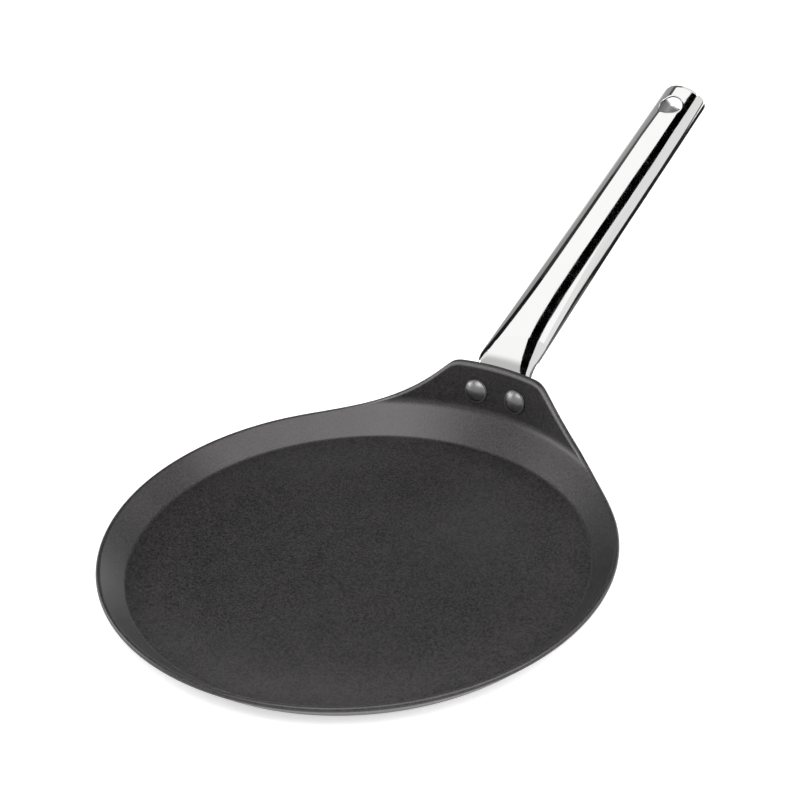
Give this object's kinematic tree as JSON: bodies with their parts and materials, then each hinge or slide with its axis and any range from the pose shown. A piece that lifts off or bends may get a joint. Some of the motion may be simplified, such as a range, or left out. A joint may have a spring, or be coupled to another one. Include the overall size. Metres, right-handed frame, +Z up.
{
  "type": "crepe pan",
  "caption": "Shallow round crepe pan with a dark non-stick coat, a low flared rim and a raised lug riveted to a long polished tubular handle with a hanging hole",
  "frame": {"origin": "centre of the flat underside, where the pan stands on the hob", "axes": "+Y points from the pan's centre along the handle, +Z points up out of the pan"},
  "size_m": [0.26, 0.4839, 0.126],
  "materials": {
    "coat": "matte",
    "polished_steel": "polished",
    "rivet_metal": "satin"
  },
  "bodies": {
    "root": {"pan_body": "coat", "handle": "polished_steel", "rivet_left": "rivet_metal", "rivet_right": "rivet_metal"}
  },
  "joints": []
}
